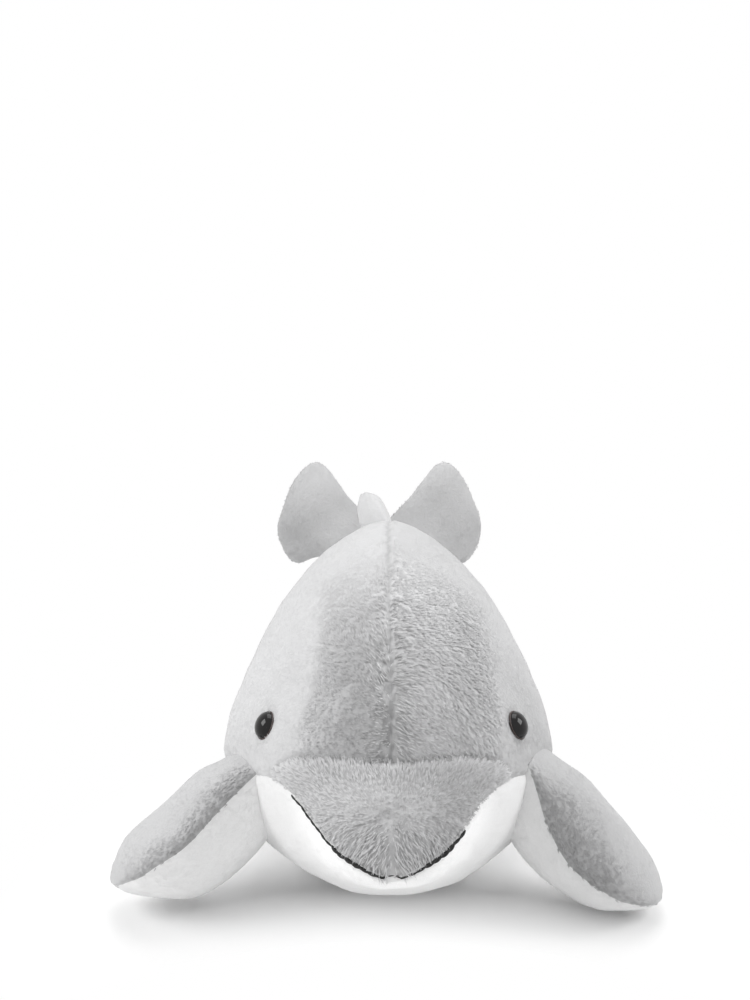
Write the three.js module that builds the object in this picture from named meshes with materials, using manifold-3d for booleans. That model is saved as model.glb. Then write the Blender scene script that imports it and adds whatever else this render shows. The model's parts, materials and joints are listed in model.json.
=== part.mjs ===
import * as THREE from "three";
import { LoftGeometry } from "three/addons/geometries/LoftGeometry.js";
import { mergeGeometries, mergeVertices } from "three/addons/utils/BufferGeometryUtils.js";
import Module from "manifold-3d";

// A plush dolphin lying on its belly. Millimetres, +Z up, the beak points to -Y and the floor is z = 0.
// Its own left side is +X. Angles are in degrees.

// Plush fabric with its pile, and the room that is left between pieces that touch.
const plushThickness = 3;
const seamGap = 0.3;
const fillingGap = 0.6;

// Body, from the beak to the tail stock. Each station has its place along the body, the half width, the
// height of the side seam, and how far the form swells above and below that seam. Under the chest it
// swells half a millimetre past the floor, where it is cut flat. The tail bends a little to the right.
const bodyStations = [
  { at: -146.5, half: 12, seam: 47, rise: 12, drop: 8 },
  { at: -139, half: 18, seam: 52, rise: 13, drop: 14.5 },
  { at: -130, half: 27, seam: 58, rise: 13.5, drop: 25.5 },
  { at: -118, half: 35.5, seam: 64, rise: 14, drop: 39 },
  { at: -104, half: 44.5, seam: 64, rise: 31.5, drop: 50 },
  { at: -85, half: 53, seam: 56, rise: 52.5, drop: 51 },
  { at: -60, half: 60, seam: 47.5, rise: 70.5, drop: 47.3 },
  { at: -30, half: 57, seam: 45, rise: 77, drop: 45.5 },
  { at: 0, half: 49.5, seam: 45, rise: 72, drop: 45.4 },
  { at: 35, half: 38.5, seam: 45.5, rise: 55, drop: 43.5 },
  { at: 65, half: 27, seam: 45, rise: 33, drop: 34 },
  { at: 90, half: 18, seam: 45, rise: 17, drop: 17, side: -2 },
  { at: 112, half: 13, seam: 47, rise: 3.4, drop: 3.4, side: -4 },
];
const beakRounding = 11;
const beakSeamEnd = 0.8;
const backPower = 1.74;
const bellyPower = 2.2;
const creaseAt = -115.5;
// The crease seam bows: its ends lie further back than its middle, at the tops of the white cheeks.
const creaseBow = 12;
const creaseBowReach = 52;
const creaseBowSpread = 1.25;
const bodyFillingEnd = 92;

// Mouth: one thick black stitch along the seam of the beak. It reaches further back on the right side.
const mouthThreadRadius = 0.8;
const mouthLeftCornerAt = -129;
const mouthRightCornerAt = -115.5;

// Eye: a moulded dome with a ribbed shank, and a lock washer behind the fabric.
const eyeAt = -87;
const eyeAngle = 27;
const eyeRadius = 5;
const eyeHeight = 4.2;
const eyeRimHeight = 0.8;
const eyeSunkDepth = 1.4;
const shankRadius = 1.6;
const shankRibHeight = 0.35;
const shankRibPitch = 1.3;
const shankRibCount = 3;
const shankLength = 7;
const washerRadius = 6;
const washerThickness = 1.2;
const washerCollarWall = 1.1;
const washerCollarHeight = 0.9;
const eyeClearance = 0.3;

// Flippers: stations along the length, from the root in the side seam to the tip. The root line is turned in
// at the front by the yaw and up by the pitch. A flipper can be lifted from where it rests.
const flipperStations = [
  { at: 0, half: 16, rise: 1.8, drop: 21 },
  { at: 12, half: 20, rise: 7, drop: 26 },
  { at: 31, half: 22.5, rise: 10.5, drop: 24 },
  { at: 50, half: 22, rise: 10.5, drop: 18 },
  { at: 68, half: 18, rise: 9, drop: 11 },
];
const flipperTipRounding = 25;
const flipperFillingFrom = 6;
const flipperRootAt = -79;
const flipperTipClearance = 1;
const flipperYaw = 12;
const flipperLeftSweep = -3;
const flipperLeftPitch = 6;
const flipperRightSweep = -8;
const flipperRightPitch = 10;
const flipperLift = 40;

// Dorsal fin: stations from the pinched root on the back seam up to the tip, swept back.
const finStations = [
  { at: 0, half: 18, rise: 1.8, drop: 1.8, side: 0 },
  { at: 8, half: 15.5, rise: 6.5, drop: 6.5, side: 2 },
  { at: 16, half: 11.5, rise: 7.5, drop: 7.5, side: 6 },
  { at: 25, half: 8, rise: 6.5, drop: 6.5, side: 10 },
];
const finTipRounding = 11;
const finFillingFrom = 6;
const finRootAt = 70;
const finLean = 30;
const finSwing = 25;

// Tail flukes: stations from the middle of the span out to the tip of one lobe, alike on both sides.
const flukeStations = [
  { at: 0, half: 9, rise: 4, drop: 4, side: 9 },
  { at: 12, half: 15, rise: 6, drop: 5.5, side: 13 },
  { at: 24, half: 23.5, rise: 7.5, drop: 7, side: 20 },
  { at: 34, half: 22, rise: 7, drop: 6.5, side: 15 },
  { at: 43, half: 14, rise: 5.5, drop: 5.5, side: 11 },
];
const flukeTipRounding = 14;
const flukeTilt = 48;
const flukeSwing = 25;
const limbPower = 2;
const limbSeamEnd = 0.3;

// How finely the forms are divided.
const beakRows = 8;
const backRows = 16;
const backColumns = 7;
const bellyColumns = 10;
const limbRows = 9;
const finRows = 7;
const limbColumns = 7;
const flukeRows = 7;
const swingSteps = 3;
const roundSides = 20;
const domeSteps = 6;
const threadSides = 6;
const threadSteps = 40;
const droopHalvings = 24;
const slopeStep = 1e-3;
const mergeDistance = 1e-4;

const greyPlush = { color: 0xa9a9ab, roughness: 1, metalness: 0 };
const whitePlush = { color: 0xe6e6e6, roughness: 1, metalness: 0 };
const fibreFill = { color: 0xf4f2ec, roughness: 1, metalness: 0 };
const blackEye = { color: 0x0c0b0b, roughness: 0.1, metalness: 0 };
const paleWasher = { color: 0xdedbd2, roughness: 0.5, metalness: 0 };
const blackThread = { color: 0x141414, roughness: 0.8, metalness: 0 };

const wasm = await Module();
wasm.setup();
const { lerp, smoothstep, degToRad } = THREE.MathUtils;

function roundedShare(distance, length) {
  if (distance >= length) return 1;
  return Math.sqrt(1 - (1 - Math.max(distance, 0) / length) ** 2);
}

function signedPower(value, power) {
  return Math.sign(value) * Math.abs(value) ** power;
}

function spread(from, to, count) {
  return Array.from({ length: count + 1 }, (_, step) => lerp(from, to, step / count));
}

// Rows lie closer together towards both ends, where a form bends most.
function rowShares(from, to, count) {
  return spread(0, Math.PI, count).map((turn) => lerp(from, to, (1 - Math.cos(turn)) / 2));
}

// A stuffed form is a run of rounded sections. The start can be pinched to a thin rounded edge, and either
// end can round off to a point. An inset gives the inside of the fabric, or the filling within it.
function stuffedForm(settings) {
  const { stations, upperPower, lowerPower } = settings;
  const { startEdge = 0, startRounding = 0, endRounding = 0, bowAt = null } = settings;
  const places = stations.map((station) => station.at);
  const sizes = stations.flatMap(({ half, rise, drop, seam = 0, side = 0 }) => {
    return [half, rise, drop, seam, side];
  });
  const profile = new THREE.CubicInterpolant(places, sizes, 5, new Float32Array(5));
  const start = places[0];
  const length = places[places.length - 1] - start;

  function point(share, angle, inset = 0, seamShift = 0, middleShift = 0) {
    const fromStart = share * length;
    const fromEnd = length - fromStart;
    const startPush = startRounding > 0 ? inset * Math.max(1 - fromStart / startRounding, 0) : 0;
    const endPush = endRounding > 0 ? inset * Math.max(1 - fromEnd / endRounding, 0) : 0;
    const at = start + fromStart + startPush - endPush;
    const [half, rise, drop, seam, side] = profile.evaluate(at);
    const round = roundedShare(fromStart, startRounding) * roundedShare(fromEnd, endRounding);
    const edge = roundedShare(fromStart, startEdge);
    const upper = seamShift === 0 ? Math.sin(angle) >= 0 : seamShift > 0;
    const bend = 2 / (upper ? upperPower : lowerPower);
    const wide = Math.max(half - inset, 0) * round - Math.abs(middleShift);
    const tall = Math.max((upper ? rise : drop) - inset, 0) * round * edge;
    const across = signedPower(Math.cos(angle), bend);
    const over = signedPower(Math.sin(angle), bend);
    return new THREE.Vector3(side + middleShift + across * wide, at, seam + seamShift + over * tall);
  }

  function normal(share, angle) {
    const along = point(share + slopeStep, angle).sub(point(share - slopeStep, angle));
    const around = point(share, angle + slopeStep).sub(point(share, angle - slopeStep));
    return along.cross(around).normalize();
  }

  function shareAt(at) {
    return (at - start) / length;
  }

  function bow(share, angle) {
    if (bowAt === null) return 0;
    const seamShare = shareAt(bowAt);
    const behind = 1 - ((share - seamShare) * length) / creaseBowReach;
    const near = smoothstep(Math.min(share / seamShare, behind), 0, 1);
    const outward = Math.min(creaseBowSpread * (1 - Math.abs(Math.sin(angle))), 1);
    return (creaseBow / length) * near * outward;
  }

  // Rows near a bowed seam run with it: further along at the sides than on top.
  function rowPoint(share, angle, ...shifts) {
    return point(share + bow(share, angle), angle, ...shifts);
  }

  return { point, rowPoint, normal, shareAt, start, length };
}

function loft(sections, capped = true) {
  const skinned = new LoftGeometry(sections, { capStart: capped, capEnd: capped });
  const geometry = new THREE.BufferGeometry();
  geometry.setAttribute("position", skinned.attributes.position);
  geometry.setIndex(skinned.index);
  return geometry;
}

// The cut edge of a panel is closed straight through the fabric, from its outside to its inside.
function cutEdge(section, atStart) {
  const columns = section.length / 2 - 1;
  const across = spread(0, columns - 1, columns - 1).flatMap((i) => {
    const [outside, nextOutside] = [i, i + 1];
    const [inside, nextInside] = [section.length - 1 - i, section.length - 2 - i];
    const near = [outside, nextOutside, nextInside];
    const far = [outside, nextInside, inside];
    return atStart ? [...near.reverse(), ...far.reverse()] : [...near, ...far];
  });
  return new THREE.BufferGeometry().setFromPoints(section).setIndex(across);
}

// A sewn panel follows part of the form, with the fabric's thickness.
function sewnPanel(form, { shares, startAngle, endAngle, columns, seamShift, middleShift = 0 }) {
  const angles = spread(endAngle, startAngle, columns);
  const sections = shares.map((share) => {
    const shifts = [seamShift, middleShift];
    const outside = angles.map((angle) => form.rowPoint(share, angle, 0, ...shifts));
    const inside = angles.map((angle) => form.rowPoint(share, angle, plushThickness, ...shifts));
    return [...outside, ...inside.reverse()];
  });
  const edges = [cutEdge(sections[0], true), cutEdge(sections[sections.length - 1], false)];
  return mergeVertices(mergeGeometries([loft(sections, false), ...edges]), mergeDistance);
}

// A whole form, drawn in by an inset or let out by a negative one.
function wholeForm(form, { shares, upperColumns, lowerColumns, inset }) {
  const under = spread(2 * Math.PI, Math.PI, lowerColumns).slice(0, -1);
  const over = spread(Math.PI, 0, upperColumns).slice(0, -1);
  const angles = [...under, ...over];
  return loft(shares.map((share) => angles.map((angle) => form.rowPoint(share, angle, inset))));
}

function solidOf(geometry) {
  const bare = new THREE.BufferGeometry();
  bare.setAttribute("position", geometry.attributes.position);
  bare.setIndex(geometry.index);
  const merged = mergeVertices(bare, mergeDistance);
  return new wasm.Manifold(
    new wasm.Mesh({
      numProp: 3,
      vertProperties: new Float32Array(merged.attributes.position.array),
      triVerts: new Uint32Array(merged.index.array),
    }),
  );
}

function geometryOf(solid) {
  const { vertProperties, triVerts } = solid.getMesh();
  const geometry = new THREE.BufferGeometry();
  geometry.setAttribute("position", new THREE.BufferAttribute(vertProperties, 3));
  geometry.setIndex(new THREE.BufferAttribute(triVerts, 1));
  return geometry;
}

function cutAway(geometry, ...cutters) {
  return geometryOf(cutters.reduce((solid, cutter) => solid.subtract(solidOf(cutter)), solidOf(geometry)));
}

// The frame of a piece: its own X and Y directions and the point where it is fixed.
function frameAt(xDirection, yDirection, position) {
  const x = xDirection.clone().normalize();
  const y = yDirection.clone().addScaledVector(x, -yDirection.dot(x)).normalize();
  const z = new THREE.Vector3().crossVectors(x, y);
  return new THREE.Matrix4().makeBasis(x, y, z).setPosition(position);
}

function groupAt(frame) {
  const group = new THREE.Group();
  frame.decompose(group.position, group.quaternion, group.scale);
  return group;
}

function piece(name, geometry, look) {
  const mesh = new THREE.Mesh(geometry, new THREE.MeshStandardMaterial(look));
  mesh.name = name;
  return mesh;
}

const dolphin = new THREE.Group();

// Body
const body = stuffedForm({
  stations: bodyStations,
  upperPower: backPower,
  lowerPower: bellyPower,
  startRounding: beakRounding,
  bowAt: creaseAt,
});

// The panels share their rows along the side seam, so that the seam stays even.
const beakShare = beakSeamEnd / body.length;
const creaseShare = body.shareAt(creaseAt);
const creaseHalfGap = seamGap / 2 / body.length;
const beakShares = rowShares(beakShare, creaseShare, beakRows);
const backShares = rowShares(creaseShare, 1, backRows);
const bellyShares = [...beakShares, ...backShares.slice(1)];
beakShares[beakRows] -= creaseHalfGap;
backShares[0] += creaseHalfGap;

const backLeft = sewnPanel(body, {
  shares: backShares,
  startAngle: 0,
  endAngle: Math.PI / 2,
  columns: backColumns,
  seamShift: seamGap / 2,
  middleShift: seamGap / 2,
});
const backRight = sewnPanel(body, {
  shares: backShares,
  startAngle: Math.PI / 2,
  endAngle: Math.PI,
  columns: backColumns,
  seamShift: seamGap / 2,
  middleShift: -seamGap / 2,
});
const beak = sewnPanel(body, {
  shares: beakShares,
  startAngle: 0,
  endAngle: Math.PI,
  columns: backColumns * 2,
  seamShift: seamGap / 2,
});
const belly = sewnPanel(body, {
  shares: bellyShares,
  startAngle: Math.PI,
  endAngle: 2 * Math.PI,
  columns: bellyColumns,
  seamShift: -seamGap / 2,
});
const restingBelly = geometryOf(solidOf(belly).trimByPlane([0, 0, 1], 0));
const bodyFilling = wholeForm(body, {
  shares: bellyShares.filter((share) => share < body.shareAt(bodyFillingEnd)),
  upperColumns: backColumns,
  lowerColumns: bellyColumns / 2,
  inset: plushThickness + fillingGap,
});

// The room that the body takes up, which the limbs stay clear of in every position.
const bodyRoom = wholeForm(body, {
  shares: bellyShares,
  upperColumns: backColumns * 2,
  lowerColumns: bellyColumns,
  inset: -seamGap,
});

// Eyes: turned profiles about the eye's own axis, with the fabric's surface at zero.
const eyeBase = -eyeSunkDepth;
const shankEnd = eyeBase - shankLength;
const washerFace = -plushThickness - eyeClearance;
const washerBack = washerFace - washerThickness - washerCollarHeight;
const ribRadius = shankRadius + shankRibHeight;
const washerBore = ribRadius + eyeClearance;
const collarRadius = washerBore + washerCollarWall;

function turned(outline) {
  const points = outline.map(([radius, height]) => new THREE.Vector2(radius, height));
  return new THREE.LatheGeometry(points, roundSides);
}

const shankRibs = spread(0, shankRibCount - 1, shankRibCount - 1).flatMap((rib) => {
  const height = shankEnd + shankRibPitch * rib;
  return [
    [shankRadius, height],
    [ribRadius, height + shankRibPitch / 2],
  ];
});
const dome = spread(0, Math.PI / 2, domeSteps).map((turn) => [
  eyeRadius * Math.cos(turn),
  eyeBase + eyeRimHeight + (eyeHeight - eyeRimHeight) * Math.sin(turn),
]);
dome[domeSteps][0] = 0;
const eyeShape = turned([
  [0, shankEnd],
  ...shankRibs,
  [shankRadius, shankEnd + shankRibPitch * shankRibCount],
  [shankRadius, eyeBase],
  [eyeRadius, eyeBase],
  ...dome,
]);
const washerShape = turned([
  [washerBore, washerBack],
  [collarRadius, washerBack],
  [collarRadius, washerFace - washerThickness],
  [washerRadius, washerFace - washerThickness],
  [washerRadius, washerFace],
  [washerBore, washerFace],
  [washerBore, washerBack],
]);
const eyeSpace = turned([
  [0, shankEnd - eyeClearance],
  [washerBore, shankEnd - eyeClearance],
  [washerBore, washerBack - eyeClearance],
  [washerRadius + eyeClearance, washerBack - eyeClearance],
  [washerRadius + eyeClearance, washerFace + eyeClearance],
  [washerBore, washerFace + eyeClearance],
  [washerBore, eyeBase - eyeClearance],
  [eyeRadius + eyeClearance, eyeBase - eyeClearance],
  [eyeRadius + eyeClearance, eyeHeight],
  [0, eyeHeight],
]);

function eyeFrame(angle) {
  const share = body.shareAt(eyeAt);
  const outward = body.normal(share, angle);
  return frameAt(new THREE.Vector3(0, 0, 1).cross(outward), outward, body.point(share, angle));
}

const eyeLeftFrame = eyeFrame(degToRad(eyeAngle));
const eyeRightFrame = eyeFrame(Math.PI - degToRad(eyeAngle));
const eyeLeftSpace = eyeSpace.clone().applyMatrix4(eyeLeftFrame);
const eyeRightSpace = eyeSpace.clone().applyMatrix4(eyeRightFrame);

dolphin.add(piece("back_panel_left", cutAway(backLeft, eyeLeftSpace), greyPlush));
dolphin.add(piece("back_panel_right", cutAway(backRight, eyeRightSpace), greyPlush));
dolphin.add(piece("beak_panel", beak, greyPlush));
dolphin.add(piece("belly_panel", restingBelly, whitePlush));
dolphin.add(piece("body_filling", cutAway(bodyFilling, eyeLeftSpace, eyeRightSpace), fibreFill));

function addEye(side, frame) {
  const eye = groupAt(frame);
  eye.add(piece(`eye_${side}`, eyeShape, blackEye));
  eye.add(piece(`eye_washer_${side}`, washerShape, paleWasher));
  dolphin.add(eye);
}

addEye("left", eyeLeftFrame);
addEye("right", eyeRightFrame);

// Mouth stitch: it lies on the beak seam from one corner round the tip to the other.
function mouthPoint(share, angle) {
  return body.point(share, angle).addScaledVector(body.normal(share, angle), mouthThreadRadius + seamGap);
}

const mouthLeftShares = rowShares(beakShare, body.shareAt(mouthLeftCornerAt), beakRows);
const mouthRightShares = rowShares(beakShare, body.shareAt(mouthRightCornerAt), beakRows);
const mouthLine = new THREE.CatmullRomCurve3([
  ...mouthLeftShares.map((share) => mouthPoint(share, 0)).reverse(),
  ...mouthRightShares.map((share) => mouthPoint(share, Math.PI)),
]);
const threadOutline = new THREE.Path().absarc(0, 0, mouthThreadRadius, 0, 2 * Math.PI);
const threadSection = new THREE.Shape(threadOutline.getSpacedPoints(threadSides).slice(0, -1));
const mouthStitch = new THREE.ExtrudeGeometry(threadSection, { steps: threadSteps, extrudePath: mouthLine });
dolphin.add(piece("mouth_stitch", mouthStitch, blackThread));

// A limb is two panels sewn round their edge and filled. Its group stands at the hinge line of its root, and
// the panels are cut clear of the body over the whole swing.
function limbPanel(form, shares, upOrDown) {
  return sewnPanel(form, {
    shares,
    startAngle: upOrDown > 0 ? 0 : Math.PI,
    endAngle: upOrDown > 0 ? Math.PI : 2 * Math.PI,
    columns: limbColumns,
    seamShift: (upOrDown * seamGap) / 2,
  });
}

function addLimb({ name, sides, looks, form, shares, fillingShares, frame, rootShift, axis, swing }) {
  const bodyFromLimb = bodyRoom.clone().applyMatrix4(frame.clone().invert());
  const cutters = spread(swing[0], swing[1], swingSteps).map((angle) => {
    return bodyFromLimb.clone().applyMatrix4(new THREE.Matrix4().makeRotationAxis(axis, degToRad(-angle)));
  });
  const upper = limbPanel(form, shares, 1).translate(...rootShift);
  const lower = limbPanel(form, shares, -1).translate(...rootShift);
  const filling = wholeForm(form, {
    shares: fillingShares,
    upperColumns: limbColumns,
    lowerColumns: limbColumns,
    inset: plushThickness + fillingGap,
  }).translate(...rootShift);
  const limb = groupAt(frame);
  limb.add(piece(`${name}_${sides[0]}_panel`, cutAway(upper, ...cutters), looks[0]));
  limb.add(piece(`${name}_${sides[1]}_panel`, cutAway(lower, ...cutters), looks[1]));
  limb.add(piece(`${name}_filling`, cutAway(filling, ...cutters), fibreFill));
  dolphin.add(limb);
}

function lowestPoint(geometry, frame) {
  const placed = geometry.clone().applyMatrix4(frame);
  placed.computeBoundingBox();
  return placed.boundingBox.min.z;
}

// A flipper hangs from its root until its tip is just clear of the floor.
const flipperRootRadius = flipperStations[0].rise;

function addFlipper(name, seamAngle, sweep, pitch) {
  const turn = Math.cos(seamAngle);
  const outward = new THREE.Vector3(turn, 0, 0);
  const chord = new THREE.Vector3(0, -turn, 0);
  chord.applyAxisAngle(new THREE.Vector3(1, 0, 0), degToRad(-pitch));
  chord.applyAxisAngle(new THREE.Vector3(0, 0, 1), degToRad(-turn * flipperYaw));
  const form = stuffedForm({
    stations: flipperStations.map((station) => ({
      ...station,
      side: turn * station.at * Math.tan(degToRad(sweep)),
    })),
    upperPower: limbPower,
    lowerPower: limbPower,
    startEdge: flipperRootRadius,
    endRounding: flipperTipRounding,
  });
  const shares = rowShares(limbSeamEnd / form.length, 1 - limbSeamEnd / form.length, limbRows);
  const rootShift = [0, -flipperRootRadius, 0];
  const hinge = body.point(body.shareAt(flipperRootAt), seamAngle);
  hinge.addScaledVector(outward, seamGap + flipperRootRadius);
  const drooped = (droop) => frameAt(chord, outward.clone().applyAxisAngle(chord, -droop), hinge);
  const underside = limbPanel(form, shares, -1).translate(...rootShift);
  let least = 0;
  let most = Math.PI / 2;
  for (let halving = 0; halving < droopHalvings; halving += 1) {
    const droop = (least + most) / 2;
    if (lowestPoint(underside, drooped(droop)) > flipperTipClearance) {
      least = droop;
    } else {
      most = droop;
    }
  }
  addLimb({
    name,
    sides: ["top", "under"],
    looks: [greyPlush, whitePlush],
    form,
    shares,
    fillingShares: shares.filter((share) => share > form.shareAt(flipperFillingFrom)),
    frame: drooped(least),
    rootShift,
    axis: new THREE.Vector3(1, 0, 0),
    swing: [0, flipperLift],
  });
}

addFlipper("flipper_left", 0, flipperLeftSweep, flipperLeftPitch);
addFlipper("flipper_right", Math.PI, flipperRightSweep, flipperRightPitch);

// Dorsal fin: its root follows the slope of the back.
const finRootHalf = finStations[0].half;
const finRootRadius = finStations[0].rise;
const finForm = stuffedForm({
  stations: finStations,
  upperPower: limbPower,
  lowerPower: limbPower,
  startEdge: finRootRadius,
  endRounding: finTipRounding,
});
const finShares = rowShares(limbSeamEnd / finForm.length, 1 - limbSeamEnd / finForm.length, finRows);
const finFront = body.point(body.shareAt(finRootAt - finRootHalf), Math.PI / 2);
const finBack = body.point(body.shareAt(finRootAt + finRootHalf), Math.PI / 2);
const finChord = finBack.clone().sub(finFront).normalize();
const finUp = new THREE.Vector3(1, 0, 0).cross(finChord).normalize();
const finHinge = body.point(body.shareAt(finRootAt), Math.PI / 2);
finHinge.addScaledVector(finUp, seamGap + finRootRadius);
addLimb({
  name: "dorsal_fin",
  sides: ["left", "right"],
  looks: [greyPlush, greyPlush],
  form: finForm,
  shares: finShares,
  fillingShares: finShares.filter((share) => share > finForm.shareAt(finFillingFrom)),
  frame: frameAt(finChord, finUp.clone().applyAxisAngle(finChord, degToRad(-finLean)), finHinge),
  rootShift: [0, -finRootRadius, 0],
  axis: new THREE.Vector3(1, 0, 0),
  swing: [-finSwing, finSwing],
});

// Tail flukes: one form across the whole span, hinged on the end of the tail stock. A middle seam parts it
// into two lobes.
const flukeEdgeRadius = flukeStations[0].rise ** 2 / flukeStations[0].half;
const otherFluke = flukeStations.slice(1).map((station) => ({ ...station, at: -station.at }));
const flukeForm = stuffedForm({
  stations: [...otherFluke.reverse(), ...flukeStations],
  upperPower: limbPower,
  lowerPower: limbPower,
  startRounding: flukeTipRounding,
  endRounding: flukeTipRounding,
});
const flukeTipShare = limbSeamEnd / flukeForm.length;
const flukeMiddle = flukeForm.shareAt(flukeStations[0].at);
const flukeMiddleGap = seamGap / 2 / flukeForm.length;
const tailStock = bodyStations[bodyStations.length - 1];
const flukeHinge = new THREE.Vector3(
  tailStock.side,
  tailStock.at + seamGap + flukeEdgeRadius,
  tailStock.seam,
);
const flukeBackward = new THREE.Vector3(0, Math.cos(degToRad(flukeTilt)), Math.sin(degToRad(flukeTilt)));

function addFluke(name, shares) {
  addLimb({
    name,
    sides: ["top", "under"],
    looks: [greyPlush, greyPlush],
    form: flukeForm,
    shares,
    fillingShares: shares,
    frame: frameAt(flukeBackward, new THREE.Vector3(-1, 0, 0), flukeHinge),
    rootShift: [-flukeEdgeRadius, 0, 0],
    axis: new THREE.Vector3(0, -1, 0),
    swing: [-flukeSwing, flukeSwing],
  });
}

addFluke("fluke_left", rowShares(flukeTipShare, flukeMiddle - flukeMiddleGap, flukeRows));
addFluke("fluke_right", rowShares(flukeMiddle + flukeMiddleGap, 1 - flukeTipShare, flukeRows));

export default dolphin;
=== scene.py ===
import json
import math
import bpy
import numpy as np
from mathutils import Matrix, Vector


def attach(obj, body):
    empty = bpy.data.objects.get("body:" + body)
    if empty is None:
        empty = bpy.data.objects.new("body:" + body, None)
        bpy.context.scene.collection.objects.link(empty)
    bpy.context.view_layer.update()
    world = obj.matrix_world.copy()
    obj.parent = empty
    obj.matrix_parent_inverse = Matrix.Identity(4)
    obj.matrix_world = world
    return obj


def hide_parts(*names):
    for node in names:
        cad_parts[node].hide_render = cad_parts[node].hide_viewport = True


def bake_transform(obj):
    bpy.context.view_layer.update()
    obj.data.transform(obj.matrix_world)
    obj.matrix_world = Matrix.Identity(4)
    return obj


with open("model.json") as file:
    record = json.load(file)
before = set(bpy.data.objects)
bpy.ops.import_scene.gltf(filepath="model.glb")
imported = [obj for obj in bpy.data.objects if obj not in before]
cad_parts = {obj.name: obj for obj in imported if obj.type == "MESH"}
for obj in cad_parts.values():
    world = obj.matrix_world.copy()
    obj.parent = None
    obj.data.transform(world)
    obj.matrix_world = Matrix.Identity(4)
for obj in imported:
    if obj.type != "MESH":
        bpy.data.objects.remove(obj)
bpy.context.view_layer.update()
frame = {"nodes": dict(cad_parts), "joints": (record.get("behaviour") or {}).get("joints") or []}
scene = bpy.context.scene
scene.view_settings.view_transform = "Standard"

# Camera: in front of the beak and above it, looking down at the toy as in the photograph.
# The view is long, so the head and the tail keep nearly the same scale.
camera_data = bpy.data.cameras.new("camera")
camera_data.sensor_width = 36.0
camera_data.lens = 120.96
camera = bpy.data.objects.new("camera", camera_data)
camera.location = (-0.0058, -1.1288, 0.6503)
camera.rotation_euler = (math.radians(65.0), 0.0, 0.0)
scene.collection.objects.link(camera)
scene.camera = camera

# Body plush: four panels of short-pile fabric, grey over the back and beak and white under the belly,
# sewn edge to edge and stuffed tight, so each panel swells and the seams between them lie sunk.
# Stations run from the beak to the tail stock: place, half width, seam height, rise, drop and bend, in mm.
body_stations = np.array([
    (-146.5, 12.0, 47.0, 12.0, 8.0, 0.0),
    (-139.0, 18.0, 52.0, 13.0, 14.5, 0.0),
    (-130.0, 27.0, 58.0, 13.5, 25.5, 0.0),
    (-118.0, 35.5, 64.0, 14.0, 39.0, 0.0),
    (-104.0, 44.5, 64.0, 31.5, 50.0, 0.0),
    (-85.0, 53.5, 56.0, 52.5, 51.0, -0.3),
    (-60.0, 62.5, 47.5, 70.5, 47.3, -1.0),
    (-30.0, 59.5, 45.0, 77.0, 45.5, -1.0),
    (0.0, 52.0, 45.0, 72.0, 45.4, -1.0),
    (35.0, 40.5, 45.5, 55.0, 43.5, -0.8),
    (65.0, 28.5, 45.0, 33.0, 34.0, -0.5),
    (90.0, 18.0, 45.0, 17.0, 17.0, -2.0),
    (112.0, 13.0, 47.0, 3.9, 3.9, -4.0),
    (118.0, 10.0, 49.9, 2.5, 2.4, -4.0),
])
beak_rounding = 11.0
back_power = 1.74
belly_power = 2.2
crease_at = -115.5
crease_bow = 12.0
crease_bow_reach = 52.0
crease_bow_spread = 1.25
crease_sunk, crease_width = 1.1, 1.6
seam_inset, skin_inset = 3.0, 1.3
seam_width, thread_half = 1.4, 0.6
pucker_spacing, pucker_reach = 7.5, 5.0
lump_height = 0.45
pile_length = 2.8
pile_height = 0.75


def unit(vectors):
    """Vectors of length one."""
    return vectors / np.maximum(np.linalg.norm(vectors, axis=-1, keepdims=True), 1e-12)


def ramp(value, start, end):
    """0 before the start and 1 after the end."""
    return np.clip((value - start) / (end - start), 0, 1)


def eased(share):
    """A share of 0 to 1 that starts and ends softly."""
    return share**2 * (3 - 2 * share)


def bell(distance, width):
    """1 at a line or a point, and next to nothing two widths away."""
    return np.exp(-((distance / width) ** 2))


def station_sizes(stations, at):
    """Smooth sizes between the stations."""
    places, sizes = stations[:, 0], stations[:, 1:]
    before = np.concatenate(([2 * places[0] - places[1]], places, [2 * places[-1] - places[-2]]))
    ends = np.concatenate((sizes[1:2], sizes, sizes[-2:-1]))
    step = np.clip(np.searchsorted(places, at, side="right") - 1, 0, len(places) - 2)
    low, high = places[step], places[step + 1]
    half = (high - low) / 2
    back = half / (low - before[step])
    ahead = half / (before[step + 3] - high)
    share = (at - low) / (high - low)
    square, cube = share**2, share**3
    weights = (
        -back * cube + 2 * back * square - back * share,
        (1 + back) * cube + (-1.5 - 2 * back) * square + (-0.5 + back) * share + 1,
        (-1 - ahead) * cube + (1.5 + ahead) * square + 0.5 * share,
        ahead * cube - ahead * square,
    )
    return sum(weight[..., None] * ends[step + place] for place, weight in enumerate(weights))


def rounded(distance, length):
    """How much of a rounded end has been reached."""
    return np.sqrt(1 - (1 - np.clip(distance / max(length, 1e-9), 0, 1)) ** 2)


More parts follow.
